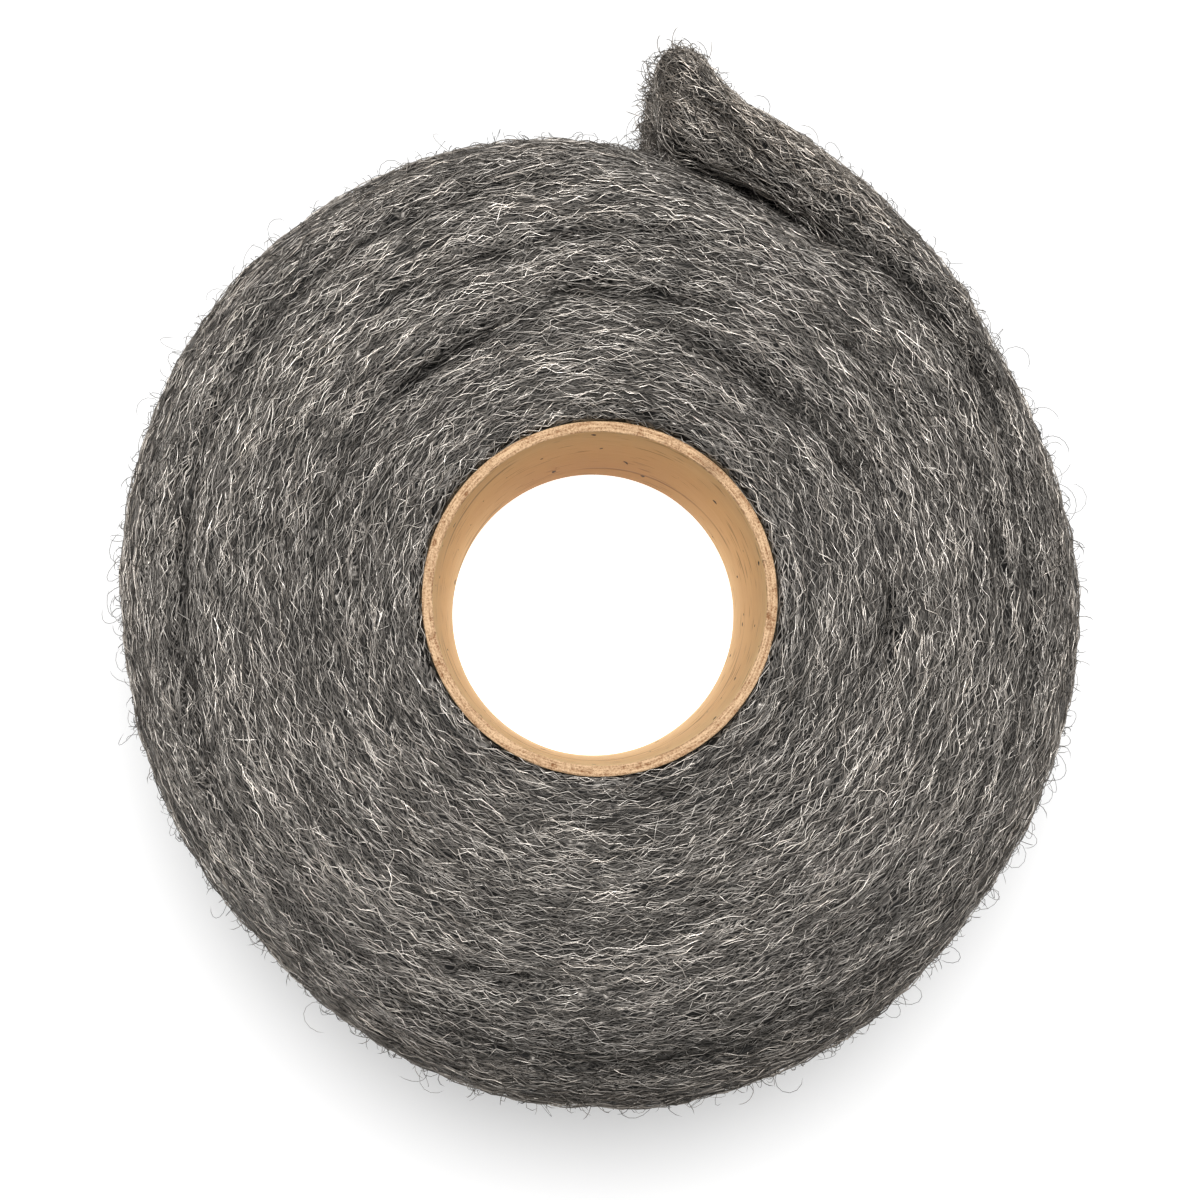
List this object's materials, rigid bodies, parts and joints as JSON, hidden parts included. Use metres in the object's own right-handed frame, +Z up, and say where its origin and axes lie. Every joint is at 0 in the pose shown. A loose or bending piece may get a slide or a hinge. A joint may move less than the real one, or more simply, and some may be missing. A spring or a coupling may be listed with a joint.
{
  "type": "steel wool roll",
  "caption": "Roll of steel wool ribbon wound on an open cardboard tube, standing on its end, with a loose end standing off its side.",
  "frame": {"origin": "centre of the object's box in X and Y, at the underside of the roll; the tube's axis passes 0.9 mm to -X and 5.2 mm to -Y of it", "axes": "+Z up along the tube's axis, which is the shortest extent; +Y towards the side where the loose end stands off, the longest extent; +X to the right of someone looking along +Y"},
  "size_m": [0.223, 0.2448, 0.1016],
  "materials": {
    "cardboard_core": "matt brown kraft chipboard with fine fibres and flecks",
    "steel_wool_roll": "tangled fine steel fibres, bright on top and dark between"
  },
  "bodies": {
    "root": {"cardboard_core": "cardboard_core", "steel_wool_roll": "steel_wool_roll"}
  },
  "joints": []
}
